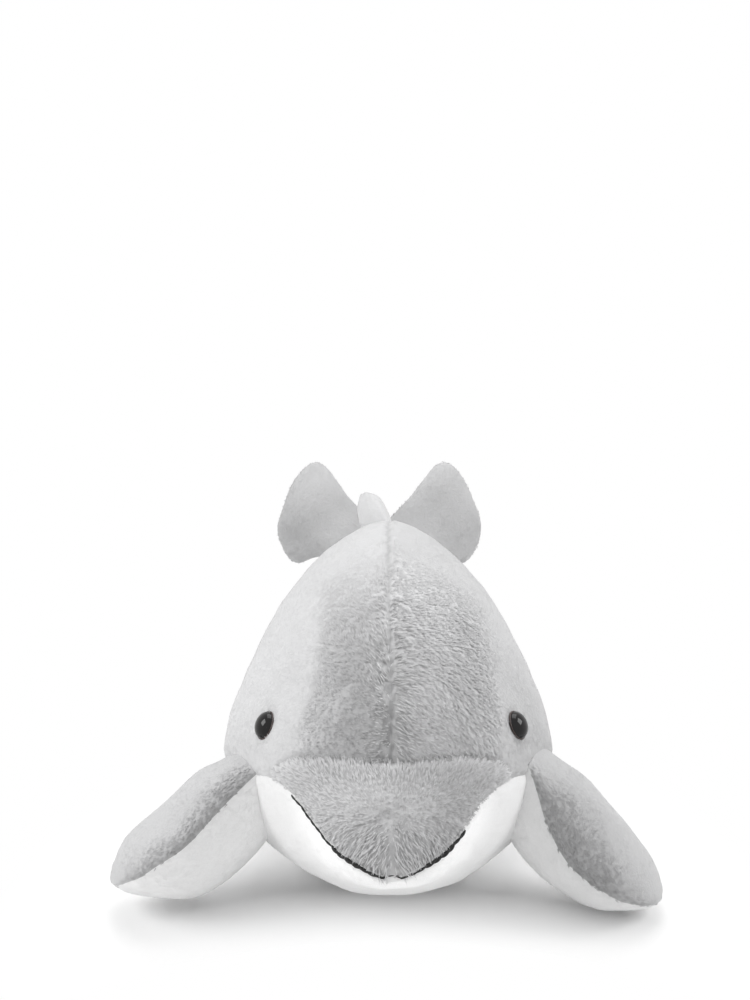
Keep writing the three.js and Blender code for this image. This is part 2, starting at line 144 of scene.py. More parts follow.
def stuffed_form(stations, upper_power=2.0, lower_power=2.0, start_rounding=0.0, end_rounding=0.0):
    """A run of rounded sections. Gives points for shares along it and angles round it, less an inset."""
    start, length = stations[0, 0], stations[-1, 0] - stations[0, 0]

    def point(share, angle, inset):
        from_start = share * length
        from_end = length - from_start
        push = inset * np.clip(1 - from_start / max(start_rounding, 1e-9), 0, 1)
        push = push - inset * np.clip(1 - from_end / max(end_rounding, 1e-9), 0, 1)
        at = start + from_start + push
        half, seam, rise, drop, side = np.moveaxis(station_sizes(stations, at), -1, 0)
        ends = rounded(from_start, start_rounding) * rounded(from_end, end_rounding)
        upper = np.sin(angle) >= 0
        bend = 2 / np.where(upper, upper_power, lower_power)
        least = 0.3
        wide = np.maximum(half - inset, least) * ends
        tall = np.maximum(np.where(upper, rise, drop) - inset, least) * ends
        across = np.sign(np.cos(angle)) * np.abs(np.cos(angle)) ** bend
        over = np.sign(np.sin(angle)) * np.abs(np.sin(angle)) ** bend
        return np.stack((side + across * wide, at + 0 * angle, seam + over * tall), -1) / 1000

    return point


def grid_normals(points):
    """Outward directions on a grid of rows along the form and columns round it."""
    along = np.gradient(points, axis=0)
    around = np.roll(points, -1, 1) - np.roll(points, 1, 1)
    return unit(np.cross(along, around))


def mesh_from(name, points, faces, uv=None, normals=None):
    """A smooth mesh object from arrays of points, faces, a place on the map for each corner, and normals."""
    mesh = bpy.data.meshes.new(name)
    mesh.vertices.add(len(points))
    mesh.vertices.foreach_set("co", np.asarray(points, np.float32).ravel())
    mesh.loops.add(faces.size)
    mesh.loops.foreach_set("vertex_index", faces.astype(np.int32).ravel())
    mesh.polygons.add(len(faces))
    mesh.polygons.foreach_set("loop_start", np.arange(0, faces.size, faces.shape[1], dtype=np.int32))
    mesh.update(calc_edges=True)
    if uv is not None:
        layer = mesh.uv_layers.new(name="OFBake")
        layer.data.foreach_set("uv", np.asarray(uv, np.float32).ravel())
    mesh.shade_smooth()
    if normals is not None:
        mesh.normals_split_custom_set_from_vertices(np.asarray(normals, np.float32))
    made = bpy.data.objects.new(name, mesh)
    scene.collection.objects.link(made)
    return made


def grid_faces(rows, columns):
    """Faces of an open grid."""
    first = (np.arange(rows - 1)[:, None] * columns + np.arange(columns - 1)[None, :]).ravel()
    return np.stack((first, first + 1, first + columns + 1, first + columns), 1)


def map_places(low, high, rows, columns):
    """An even place on the map for each point of a grid."""
    wide, tall = np.linspace(low, high, columns), np.linspace(low, high, rows)
    return np.stack(np.meshgrid(wide, tall), -1).reshape(-1, 2)


def stuffed_swell(name, points, pins, most):
    """Fills a sewn form with air in a cloth simulation, held at its seams. Gives how far each point went."""
    rows, columns = points.shape[:2]
    start = points.reshape(-1, 3)
    ring = np.arange(columns)
    following = np.roll(ring, -1)
    faces = [
        (row * columns + a, row * columns + b, (row + 1) * columns + b, (row + 1) * columns + a)
        for row in range(rows - 1) for a, b in zip(ring, following)
    ]
    tip = len(start)
    faces += [(a, tip, b) for a, b in zip(ring, following)]
    last = (rows - 1) * columns
    faces += [(last + b, tip + 1, last + a) for a, b in zip(ring, following)]
    mesh = bpy.data.meshes.new(name)
    ends = [points[0].mean(0), points[-1].mean(0)]
    mesh.from_pydata([*map(tuple, start), *map(tuple, ends)], [], [tuple(map(int, f[::-1])) for f in faces])
    made = bpy.data.objects.new(name, mesh)
    scene.collection.objects.link(made)
    held = made.vertex_groups.new(name="seams")
    held.add([int(i) for i in np.flatnonzero(pins.ravel())] + [tip, tip + 1], 1.0, "REPLACE")
    last_frame = 20
    cloth = made.modifiers.new("filling", "CLOTH")
    cloth.settings.vertex_group_mass = "seams"
    cloth.settings.use_pressure = True
    cloth.settings.uniform_pressure_force = 4.0
    cloth.settings.effector_weights.gravity = 0.0
    cloth.settings.quality = 5
    cloth.settings.tension_stiffness = 8.0
    cloth.settings.compression_stiffness = 8.0
    cloth.settings.bending_stiffness = 0.6
    cloth.point_cache.frame_start = 1
    cloth.point_cache.frame_end = last_frame
    for step in range(1, last_frame + 1):
        scene.frame_set(step)
    settled = made.evaluated_get(bpy.context.evaluated_depsgraph_get()).to_mesh()
    moved = np.zeros(len(settled.vertices) * 3, np.float32)
    settled.vertices.foreach_get("co", moved)
    scene.frame_set(1)
    bpy.data.objects.remove(made)
    bpy.data.meshes.remove(mesh)
    went = moved.reshape(-1, 3)[:tip].reshape(points.shape) - points
    reach = np.linalg.norm(went, axis=-1, keepdims=True)
    return went * np.minimum(1, most / np.maximum(reach, 1e-9))


def finer(field, rows, columns):
    """A grid field on a finer grid, smoothed so that no facet shows; columns run round the form."""
    old_rows, old_columns = field.shape[:2]
    down = np.linspace(0, old_rows - 1, rows)
    row = np.clip(down.astype(int), 0, old_rows - 2)
    share = (down - row)[:, None, None]
    tall = field[row] * (1 - share) + field[row + 1] * share
    across = np.arange(columns) * old_columns / columns
    column = across.astype(int) % old_columns
    share = (across - across.astype(int))[None, :, None]
    wide = tall[:, column] * (1 - share) + tall[:, (column + 1) % old_columns] * share
    for _ in range(4):
        padded = np.concatenate((wide[:1], wide, wide[-1:]))
        wide = (padded[:-2] + padded[2:] + np.roll(wide, 1, 1) + np.roll(wide, -1, 1) + 2 * wide) / 6
    return wide


def soft_noise(points, scale, seed):
    """Smooth lumps through space, about -1 to 1, from a few crossing waves."""
    chance = np.random.default_rng(seed)
    total = np.zeros(points.shape[:-1])
    for _ in range(7):
        way = chance.normal(size=3)
        way *= chance.uniform(0.6, 1.5) * 2 * math.pi / scale / np.linalg.norm(way)
        total += np.sin(points @ way + chance.uniform(0, 2 * math.pi))
    return total / 3.5


def sewn_skin(
    name, form, coarse, fine, seam_columns, seam_rows, shares=(0.0, 1.0), pucker=0.35, draw=0.6, bow=None,
):
    """The fabric of a whole stuffed form on a fine grid: swollen between the seams, puckered along them."""
    def grid(rows, columns, inset):
        even = np.linspace(0, math.pi, rows)
        closer_at_ends = 0.55 * (1 - np.cos(even)) / 2 + 0.45 * even / math.pi
        share = shares[0] + (shares[1] - shares[0]) * closer_at_ends
        angle = np.arange(columns) * 2 * math.pi / columns
        down, around = np.meshgrid(share, angle, indexing="ij")
        return share, angle, form(down + (bow(down, around) if bow else 0), around, inset)

    share, angle, sunk = grid(*coarse, seam_inset)
    pins = np.zeros(coarse, bool)
    pins[[0, -1]] = True
    for column_at, low, high in seam_columns:
        column = round(column_at / (2 * math.pi) * coarse[1]) % coarse[1]
        pins[(share >= low) & (share <= high), column] = True
    for row_at in seam_rows:
        pins[np.argmin(abs(share - row_at)), : coarse[1] // 2 + 1] = True
    most = (seam_inset - skin_inset) / 1000
    swell = stuffed_swell(name + "_swell", sunk, pins, most)
    share, angle, skin = grid(*fine, seam_inset)
    skin = skin + finer(swell, *fine)
    normals = grid_normals(skin)
    lumps = 0.5 * soft_noise(skin, 0.03, 11) + 0.35 * soft_noise(skin, 0.012, 12)
    skin = skin + normals * (lumps * lump_height / 1000)[..., None]
    for row_at in seam_rows:
        row = np.argmin(abs(share - row_at))
        away = 1000 * np.linalg.norm(skin - skin[row], axis=-1)
        drawn = crease_sunk * bell(away, crease_width) * np.clip(3 * np.sin(angle), 0, 1)[None, :]
        skin = skin - normals * (drawn / 1000)[..., None]
    for column_at, low, high in seam_columns:
        column = round(column_at / (2 * math.pi) * fine[1]) % fine[1]
        line = skin[:, column : column + 1]
        steps = 1000 * np.linalg.norm(np.diff(line[:, 0], axis=0), axis=-1)
        run = np.concatenate(([0], np.cumsum(steps)))[:, None]
        away = 1000 * np.linalg.norm(skin - line, axis=-1)
        here = ((share >= low) & (share <= high))[:, None]
        wave = np.sin(run * 2 * math.pi / pucker_spacing + 1.7 * np.sin(0.09 * run))
        ripple = wave * np.exp(-away / pucker_reach)
        drawn = draw * bell(away, seam_width)
        beside_thread = away > thread_half
        skin = skin + normals * (here * (ripple * pucker * beside_thread - drawn) / 1000)[..., None]
    return share, angle, skin, grid_normals(skin)


def panel_piece(name, skin, rows, columns, material, tone):
    """One sewn panel of a skin, between the given rows and columns, with its tone at each point."""
    pick = np.arange(columns[0], columns[1] + 1) % skin.shape[1]
    part = skin[rows[0] : rows[1] + 1][:, pick]
    tint = (tone * np.ones(skin.shape[:2]))[rows[0] : rows[1] + 1][:, pick]
    tall, wide = part.shape[:2]
    faces = grid_faces(tall, wide)[:, ::-1]
    made = mesh_from(name, part.reshape(-1, 3), faces, map_places(0.02, 0.98, tall, wide)[faces])
    layer = made.data.attributes.new("tone", "FLOAT", "POINT")
    layer.data.foreach_set("value", tint.ravel().astype(np.float32))
    made.data.materials.append(material)
    return made


def pile_piece(
    name, skin, normals, nap, rows, columns, material, seed,
    clumps, length, height, tone, velvet, bare=(), hidden=None,
):
    """The pile of one panel: clumps of tapering tufts that follow the nap. The clumps per square mm, the
    length and height in mm, the tone, and how even and velvety the pile lies may change over the panel."""
    chance = np.random.default_rng(seed)
    pick = np.arange(columns[0], columns[1] + 1) % skin.shape[1]
    even = np.ones(skin.shape[:2])
    changing = ((field * even)[..., None] for field in (length, height, tone, clumps, velvet))
    fields = (field[rows[0] : rows[1] + 1][:, pick] for field in (skin, normals, nap, *changing))
    part, up, lie, long, high, tint, thick, calm = fields
    corner = part[:-1, :-1]
    area = np.linalg.norm(np.cross(part[1:, :-1] - corner, part[:-1, 1:] - corner), axis=-1)
    sums = np.cumsum((area * thick[:-1, :-1, 0]).ravel())
    count = int(sums[-1] * 1e6)
    cell = np.searchsorted(sums, chance.uniform(0, sums[-1], count))
    row, column = np.unravel_index(np.minimum(cell, area.size - 1), area.shape)
    a, b = chance.uniform(0, 1, (2, count, 1))

    def between(field):
        low = field[row, column] * (1 - b) + field[row, column + 1] * b
        return low * (1 - a) + (field[row + 1, column] * (1 - b) + field[row + 1, column + 1] * b) * a

    root = between(part)
    keep = np.ones(count, bool)
    for at, radius in bare:
        keep &= np.linalg.norm(root - np.array(at), axis=-1) > radius
    if hidden is not None:
        keep &= ~hidden(root)
    root, out, way, long, high, tint, thick, calm = (
        field[keep] for field in (root, *(between(f) for f in (up, lie, long, high, tint, thick, calm)))
    )
    count = len(root)
    out = unit(out)
    turn = chance.normal(0, 0.14, (count, 1)) + 0.25 * soft_noise(root, 0.018, seed + 5)[:, None]
    turn = turn * (1 - 0.4 * calm)
    lying = np.clip(np.linalg.norm(way, axis=-1, keepdims=True), 0.3, 1)
    long, high = long * lying, high * (1.7 - 0.7 * lying)
    way = unit(way - out * (way * out).sum(-1, keepdims=True))
    way = way * np.cos(turn) + np.cross(out, way) * np.sin(turn)
    side = np.cross(out, way)
    clump_scale = chance.uniform(0.8, 1.2, (count, 1))
    clump_lift = chance.uniform(0.7, 1.2, (count, 1))
    clump_shade = 0.06 * chance.normal(size=(count, 1)) * (1 - 0.8 * calm) ** 2
    patches = soft_noise(root, 0.035, seed + 9)[:, None]
    clump_shade = 0.5 + clump_shade + 0.06 * patches * (1 - 0.5 * calm)
    together = (root, out, way, side, long * clump_scale, high * clump_lift, tint + clump_shade, thick, calm)
    clump_tufts = 3
    root, out, way, side, long, high, shade, thick, calm = (np.repeat(f, clump_tufts, 0) for f in together)
    total = len(root)
    long = long * chance.uniform(0.75, 1.15, (total, 1)) / 1000
    high = high * chance.uniform(0.75, 1.15, (total, 1)) / 1000
    scatter = chance.normal(0, 0.26, (2, total, 1)) * (1 + 0.8 * calm) / 1000
    aside = way * scatter[0] + side * scatter[1]
    root_depth, floor_gap = 0.0004, 0.0002
    base = root + aside - out * root_depth
    tip = root + aside * chance.uniform(0.35, 0.95, (total, 1)) + way * long + out * high
    ring = base * 0.5 + tip * 0.5 + out * high * 0.32
    wide = chance.uniform(0.09, 0.15, (total, 1)) / np.sqrt(thick / 1.2) / 1000
    points = np.stack((base, ring + side * wide, ring - side * wide, ring + out * wide, tip), 1)
    points[..., 2] = np.maximum(points[..., 2], floor_gap)
    lean = 0.45 * (1 - 0.8 * calm)
    facing = np.stack((out, out + side * lean, out - side * lean, out, out + way * 0.5 * lean), 1)
    tuft_faces = np.array(((0, 3, 1), (0, 2, 3), (0, 1, 2), (4, 1, 3), (4, 3, 2), (4, 2, 1)))
    faces = (np.arange(total)[:, None, None] * 5 + tuft_faces[None]).reshape(-1, 3)
    shade = np.clip(shade + 0.04 * chance.normal(size=(total, 1)) * (1 - 0.8 * calm), 0.05, 0.95)
    # Each tuft's corners lie on the map between its painted root shade and its tip; where the pile is calm,
    # the roots take nearly the tip's colour.
    below_tip = np.array((0.96, 0.52, 0.52, 0.44, 0.0)) * (1 - 0.6 * np.maximum(calm, 0))
    place = np.zeros((total, 5, 2))
    place[..., 0] = shade + np.array((0, -0.012, 0.012, 0.004, 0))
    place[..., 1] = np.maximum(0.98 - below_tip, 0.02)
    made = mesh_from(
        name, points.reshape(-1, 3), faces, place.reshape(-1, 2)[faces], unit(facing).reshape(-1, 3),
    )
    made.data.materials.append(material)
    return made


def set_inputs(tree, node, inputs):
    """Gives each input of a node a plain value, or links it to the output of another node."""
    for socket, value in inputs.items():
        if isinstance(value, bpy.types.NodeSocket):
            tree.links.new(value, node.inputs[socket])
        else:
            node.inputs[socket].default_value = value


def add_node(tree, kind, inputs, **settings):
    """A new node with its settings and inputs. Gives its outputs."""
    made = tree.nodes.new("ShaderNode" + kind)
    for setting, value in settings.items():
        setattr(made, setting, value)
    set_inputs(tree, made, inputs)
    return made.outputs


def node_group(name, inputs, outputs):
    """An empty node group with named inputs and outputs, what it is given, and its result."""
    made = bpy.data.node_groups.new(name, "ShaderNodeTree")
    for way, sockets in (("INPUT", inputs), ("OUTPUT", outputs)):
        for socket, kind in sockets.items():
            made.interface.new_socket(socket, in_out=way, socket_type="NodeSocket" + kind)
    return made, made.nodes.new("NodeGroupInput").outputs, made.nodes.new("NodeGroupOutput")


# Pile colour, shared by the grey and the white pile: painted shade darkens it towards the root, where the
# pile would shade itself, and it is pale at the tip; no two clumps alike. Each clump's tone also carries the
# painted light and shade given for its place.
darkest_pile, palest_pile = 0.6, 1.3
pile_shade, given, result = node_group(
    "pile_shade", {"Root": "Color", "Tip": "Color", "Place": "Vector"}, {"Color": "Color"},
)
place = add_node(pile_shade, "SeparateXYZ", {0: given["Place"]})
rise = add_node(
    pile_shade, "MapRange", {"Value": place["Y"], "From Min": 0.05, "From Max": 0.85},
    interpolation_type="SMOOTHSTEP",
)
fade = add_node(
    pile_shade, "Mix", {"Factor": rise["Result"], "A": given["Root"], "B": given["Tip"]}, data_type="RGBA",
)
clump = add_node(pile_shade, "MapRange", {"Value": place["X"], "To Min": darkest_pile, "To Max": palest_pile})
vary = add_node(pile_shade, "VectorMath", {0: fade["Result"], "Scale": clump["Result"]}, operation="SCALE")
set_inputs(pile_shade, result, {"Color": vary["Vector"]})

# Mottle, shared by the cloth, the plastic, the thread and the filling: a fine grain between two tones.
mottle, given, result = node_group(
    "mottle", {"Dark": "Color", "Pale": "Color", "Scale": "Float", "Detail": "Float", "Distortion": "Float"},
    {"Color": "Color", "Grain": "Float"},
)
where = add_node(mottle, "TexCoord", {})
grain = add_node(mottle, "TexNoise", {
    "Vector": where["Object"], "Scale": given["Scale"], "Detail": given["Detail"],
    "Distortion": given["Distortion"],
})
tone = add_node(
    mottle, "Mix", {"Factor": grain["Fac"], "A": given["Dark"], "B": given["Pale"]}, data_type="RGBA",
)
set_inputs(mottle, result, {"Color": tone["Result"], "Grain": grain["Fac"]})


def new_material(name, finish):
    """A material with the plain values of its shader."""
    made = bpy.data.materials.new(name)
    made.use_nodes = True
    shader = made.node_tree.nodes["Principled BSDF"]
    set_inputs(made.node_tree, shader, finish)
    return made, made.node_tree, shader


def add_mottle(tree, dark, pale, scale, detail=2.0, distortion=0.0):
    """The mottle in a material, with its own values."""
    return add_node(tree, "Group", {
        "Dark": dark, "Pale": pale, "Scale": scale, "Detail": detail, "Distortion": distortion,
    }, node_tree=mottle)


def pile_material(name, root, tip):
    """Soft fibre with a pale bloom at glancing angles."""
    made, tree, shader = new_material(name, {
        "Roughness": 0.9, "Specular IOR Level": 0.15, "Sheen Weight": 0.35, "Sheen Roughness": 0.45,
    })
    where = add_node(tree, "UVMap", {}, uv_map="OFBake")
    colour = add_node(tree, "Group", {"Root": root, "Tip": tip, "Place": where["UV"]}, node_tree=pile_shade)
    set_inputs(tree, shader, {"Base Color": colour["Color"]})
    return made


def backing_material(name, dark, pale, rough):
    """The cloth under the pile: short fibre roots, mottled finely, with a fibrous bump."""
    made, tree, shader = new_material(name, {
        "Roughness": 0.95, "Specular IOR Level": 0.1, "Sheen Weight": 0.3, "Sheen Roughness": 0.5,
    })
    fibre = add_mottle(tree, dark, pale, 900.0, 3.0)
    # The tone of each point lightens or darkens the cloth; it holds painted light and shade as well as random
    # tone.
    tone_and_painted_shading = add_node(tree, "Attribute", {}, attribute_name="tone")
    level = add_node(tree, "MapRange", {
        "Value": tone_and_painted_shading["Fac"], "From Min": -0.5, "From Max": 0.5,
        "To Min": darkest_pile, "To Max": palest_pile,
    })
    shown = add_node(tree, "VectorMath", {0: fibre["Color"], "Scale": level["Result"]}, operation="SCALE")
    bump = add_node(tree, "Bump", {"Strength": rough, "Distance": 0.0006, "Height": fibre["Grain"]})
    set_inputs(tree, shader, {"Base Color": shown["Vector"], "Normal": bump["Normal"]})
    return made


# The root colours hold the pile's painted shade, darker than the tips.
plush = {
    "grey": (
        backing_material("grey_backing", (0.535, 0.535, 0.54, 1.0), (0.615, 0.615, 0.62, 1.0), 0.3),
        pile_material("grey_pile", root=(0.5, 0.5, 0.505, 1.0), tip=(0.6, 0.6, 0.605, 1.0)),
    ),
    "white": (
        backing_material("white_backing", (0.82, 0.82, 0.82, 1.0), (0.88, 0.88, 0.88, 1.0), 0.2),
        pile_material("white_pile", root=(0.8, 0.8, 0.8, 1.0), tip=(0.88, 0.88, 0.88, 1.0)),
    ),
}

body_length = body_stations[-1, 0] - body_stations[0, 0]
crease_share = (crease_at - body_stations[0, 0]) / body_length
body_form = stuffed_form(body_stations, back_power, belly_power, start_rounding=beak_rounding)


def crease_shift(share, angle):
    """Rows near the crease bow with it: its ends lie further back, at the tops of the white cheeks."""
    near = np.minimum(share / crease_share, 1 - (share - crease_share) * body_length / crease_bow_reach)
    outward = np.minimum(crease_bow_spread * (1 - np.abs(np.sin(angle))), 1)
    return crease_bow / body_length * eased(np.clip(near, 0, 1)) * outward


body_rows, body_columns = 232, 288
back_seam, left_seam, right_seam = math.pi / 2, 0.0, math.pi
share, angle, body_skin, body_up = sewn_skin(
    "body", body_form, (78, 96), (body_rows, body_columns),
    [(left_seam, 0, 1), (right_seam, 0, 1), (back_seam, crease_share, 1)], [crease_share],
    shares=(0.00002, 1.0), pucker=0.05, draw=0.8, bow=crease_shift,
)
body_floor_gap = 0.0007
body_skin[..., 2] = np.maximum(body_skin[..., 2], body_floor_gap)
crease_row = int(np.argmin(abs(share - crease_share)))
quarter = body_columns // 4
across_mm, along_mm, height_mm = np.moveaxis(1000 * body_skin, -1, 0)
after_crease = share - crease_share
on_left = np.cos(angle) >= 0

# How the pile lies: away from the seam on the back and more and more to the tail, fanned out from the
# tip on the beak, and to the tail on the belly.
along = unit(np.gradient(body_skin, axis=0))
around = unit(np.roll(body_skin, -1, 1) - np.roll(body_skin, 1, 1))
from_seam = around * np.where(on_left, -1.0, 1.0)[None, :, None]
left_lie = np.interp(after_crease, [0.0, 0.12, 0.28, 0.9], [-0.9, -0.1, 0.35, 1.2])[:, None]
right_lie = np.interp(after_crease, [0.0, 0.08, 0.28, 0.9], [-0.3, 0.7, 1.0, 1.3])[:, None]
back_lie = np.where(on_left, left_lie, right_lie)[..., None]
back_nap = from_seam * np.where(on_left, 1.0, 0.5)[None, :, None] + along * back_lie
beak_places = [0.0, 0.3 * crease_share, 0.6 * crease_share, crease_share]
beak_out = np.interp(share, beak_places, [1.2, 1.0, 0.35, 0.1])[:, None, None]
beak_up = np.interp(share, beak_places, [-1.0, -0.6, 0.5, 1.0])[:, None, None]
beak_side = np.clip(2 * np.abs(np.cos(angle)), 0.45, 1)[None, :, None]
beak_nap = along * beak_up + from_seam * beak_out * beak_side
belly_nap = along + from_seam * 0.4

# Where the back's pile is brushed flat, short and even, with little painted shade at its roots, so that it
# looks
# pale: past an edge on each side of the head, and to the tail.
edge_places = [-146, -110, -90, -60, -30]
edge_left = np.interp(along_mm, edge_places, [40, 38, 36, 31, 25])
edge_right = np.interp(along_mm, edge_places, [36, 33, 26, 23, 19])
flat_edge = np.where(across_mm >= 0, edge_left, edge_right) + 1.5 * soft_noise(body_skin, 0.03, 14)
past_edge = np.abs(across_mm) - flat_edge
flat_edge_width = np.interp(along_mm, [-110, -75, -30], [6, 9, 18])
flat_side = eased(np.clip(past_edge / flat_edge_width + 0.5, 0, 1))
toward_tail = ramp(along_mm, -70, -35)
pale = np.maximum(flat_side, toward_tail)

# The back: painted light and shade on the flanks and towards the tail, with one side darker than the other; a
# dark wavering seam line of painted shade; painted light just above the crease; and long parted hair beside
# the seam on the head, over a backing darkened with painted shadow between the strands.
from_back_seam = across_mm - across_mm[:, [quarter]]
near_back_seam = bell(from_back_seam, 6)
seam_hair = near_back_seam * ramp(along_mm, -72, -92)
seam_wave = 0.4 * np.sin(along_mm * 0.55) + 0.3 * np.sin(along_mm * 1.3)
on_head = np.clip(1.3 - 2.2 * after_crease, 0, 1)[:, None]
# Painted light and shade on the flanks: the side at the right of the picture darker, the other a little
# paler.
flank_painted_shading = np.where(on_left, -0.27, 0.08) * (0.55 * flat_side + 0.45 * ramp(past_edge, 0, 18))
# Painted shade towards the tail, on the side at the right of the picture.
tail_painted_shade = np.where(on_left, -0.1, 0.0) * toward_tail
# Painted light just above the crease, lifting the shade in the hollow there.
painted_light_above_crease = bell(after_crease, 0.05)[:, None]
back_tone = 0.06 + flank_painted_shading * (1 - toward_tail) + tail_painted_shade + 0.08 * painted_light_above_crease * (1 - flat_side)
# A thin wavering line of painted shade along the seam, as if in the shadow of its groove.
back_tone = back_tone - 0.34 * bell(from_back_seam - seam_wave, 0.9)
back_tone = back_tone + (0.14 + 0.5 * soft_noise(body_skin, 0.0024, 15)) * seam_hair
# Beside the seam on the head, painted shade darkens the side at the left of the picture, towards the front of
# the head, and painted light lifts the other side; both fade where the pile lies flat.
seam_side_shading_places = [-34, -24, -14, -3, 3, 14, 24]
tone_and_painted_shading = np.interp(from_back_seam, seam_side_shading_places, [0.12, 0.0, -0.24, -0.2, 0.2, 0.24, 0.05])
low_on_head = ramp(along_mm, -62, -87)
back_tone = back_tone + tone_and_painted_shading * (1 - pale) * np.where(tone_and_painted_shading < 0, low_on_head, 1)
# The backing under the long hair by the seam is darkened with painted shadow between the strands.
back_backing_painted_shade = np.minimum(back_tone, 0.2) - 0.4 * seam_hair
back_nap = back_nap * (1 - 0.15 * seam_hair)[..., None]
back_calm = pale - 0.3 * near_back_seam * (1 - pale) - 0.9 * seam_hair
back_clumps = (0.72 + 0.75 * on_head) * (1 - 0.4 * seam_hair)
back_length = pile_length + 1.6 * seam_hair - 1.7 * pale
back_height = pile_height + 0.15 * seam_hair - 0.6 * pale

# The beak: long strands at the tip, a pale band of painted light under the crease, and pile trimmed short at
# the mouth. Painted light also lifts the tip, and painted shade darkens one side and the whorl.
near_tip = ramp(share, 0.55 * crease_share, 0)[:, None]
painted_light_under_crease = ramp(share, 0.75 * crease_share, crease_share)[:, None]
whorl = bell(share - 0.45 * crease_share, 0.14 * crease_share)[:, None] * bell(across_mm, 6)
# Painted light on the shaded tip and in the band under the crease; painted shade on the side at the right of
# the picture, painted light on the other, and painted shade on the whorl.
beak_tone = 0.1 + 0.7 * near_tip + 0.5 * painted_light_under_crease - 0.2 * np.clip(across_mm / 20, -1, 1) - 0.2 * whorl
beak_clumps = 1.8 - 1.25 * near_tip
beak_height = pile_height + 0.6 * near_tip
beak_length = pile_length + 2.2 * near_tip
mouth_seams = (body_skin[:, [column]] for column in (0, 2 * quarter))
to_mouth = 1000 * np.minimum(*(np.linalg.norm(body_skin - seam, axis=-1) for seam in mouth_seams))
at_side = ramp(np.abs(across_mm), 5, 9)
beak_length = beak_length - at_side * np.maximum(0, beak_length - np.maximum(0.9, to_mouth - 0.6))

# Round the eyes the fabric stands up a little, and the pile is clipped away under each dome.
eye_left_at = (0.0457659, -0.087, 0.0772366)
eye_right_at = (-0.0457659, -0.087, 0.0772366)
eye_bare = 0.0046
eyes_at = np.array((eye_left_at, eye_right_at))
to_eye = 1000 * np.minimum(*(np.linalg.norm(body_skin - at, axis=-1) for at in eyes_at))
back_height = back_height + 0.4 * bell(to_eye - 5, 2.2)
body_skin = body_skin + body_up * (0.0012 * bell(to_eye, 11))[..., None]

# The belly: short even pile, with painted light on the jaw, which faces down into shade.
jaw_painted_light = 0.3 * ramp(1000 * body_skin[..., 1], -110, -130)
belly_clumps = 0.22 + 0.52 * ramp(height_mm, 0, 20) * (0.6 + 0.4 * on_head)
belly_length, belly_height, belly_calm = 1.0, 0.12, 1.0

back_rows, beak_rows, belly_rows = (crease_row, body_rows - 1), (0, crease_row), (0, body_rows - 1)
back_pile = (back_clumps, back_length, back_height, back_tone, back_calm)
beak_pile = (beak_clumps, beak_length, beak_height, beak_tone, -1.1 * near_tip)
belly_pile = (belly_clumps, belly_length, belly_height, jaw_painted_light, belly_calm)
body_panels = (
    ("back_left", "back_panel_left", "grey", back_rows, (0, 1), back_backing_painted_shade, back_nap, back_pile),
    ("back_right", "back_panel_right", "grey", back_rows, (1, 2), back_backing_painted_shade, back_nap, back_pile),
    ("beak", "beak_panel", "grey", beak_rows, (0, 2), np.minimum(beak_tone, 0.0), beak_nap, beak_pile),
    ("belly", "belly_panel", "white", belly_rows, (2, 4), np.minimum(jaw_painted_light, 0.2), belly_nap, belly_pile),
)
middle_row, tail_bare_row = (int(np.argmin(abs(share - at))) for at in (0.45, 0.965))
for seed, (name, node, shade, rows, quarters, backing_tone, nap, pile_look) in enumerate(body_panels):
    columns = (quarters[0] * quarter, quarters[1] * quarter)
    backing, pile = plush[shade]
    panel = panel_piece(name, body_skin, rows, columns, backing, backing_tone)
    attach(panel, "body")
    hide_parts(node)
    lengths = (rows,)
    if rows[1] > middle_row:
        lengths = ((rows[0], middle_row), (middle_row, min(rows[1], tail_bare_row)))
    for end, pile_rows in zip(("_pile", "_pile_rear"), lengths):
        tufts = pile_piece(
            name + end, body_skin, body_up, nap, pile_rows, columns, pile, 20 + seed, *pile_look,
            bare=[(eye_left_at, eye_bare), (eye_right_at, eye_bare)],
        )
        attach(tufts, "body")

# Limbs: each flipper, the dorsal fin and each lobe of the flukes is two panels sewn round their edge and
# stuffed, with a pinched root that is sewn to the body. Their stations run from the root
# to the tip as the body's do: place, half width, seam height, rise, drop and sweep, in mm.
flipper_left_stations = np.array([
    (-8.0, 15.0, -1.0, 4.0, 17.0, 0.0),
    (0.0, 17.0, -3.0, 8.5, 22.0, 0.0),
    (12.0, 20.0, -7.0, 17.0, 23.5, 0.0),
    (31.0, 22.5, -9.5, 21.0, 20.5, 0.0),
    (50.0, 22.0, -4.5, 15.0, 19.0, 0.0),
    (68.0, 18.0, 1.5, 9.0, 13.0, 0.0),
])
flipper_right_stations = np.array([
    (-8.0, 15.0, -4.0, 6.0, 16.0, 0.0),
    (0.0, 17.0, -2.5, 8.0, 23.0, 0.0),
    (12.0, 20.0, -0.5, 11.0, 29.0, 0.0),
    (31.0, 22.5, 1.2, 11.0, 30.5, 0.0),
    (48.0, 22.0, 5.5, 9.0, 29.5, 0.0),
    (65.0, 18.0, 6.5, 6.0, 21.0, 0.0),
])
fin_stations = np.array([
    (-7.0, 20.0, 0.0, 2.2, 6.0, -1.5),
    (0.0, 18.0, 0.0, 4.0, 9.0, 0.0),
    (8.0, 15.5, 0.0, 6.5, 11.0, 2.0),
    (16.0, 11.5, 0.0, 7.5, 9.0, 6.0),
    (25.0, 8.0, 0.0, 6.5, 6.5, 10.0),
])
fluke_half = np.array([
    (0.0, 10.5, 0.0, 4.0, 4.0, 7.5),
    (12.0, 15.5, 0.0, 6.0, 5.5, 12.5),
    (25.0, 23.5, 0.0, 7.5, 7.0, 20.0),
    (36.0, 22.0, 0.0, 7.0, 6.5, 15.0),
    (45.0, 14.0, 0.0, 5.5, 5.5, 11.0),
])
limb_root_shift = (0.0, -1.8, 0.0)
limb_floor_gap = 0.0012
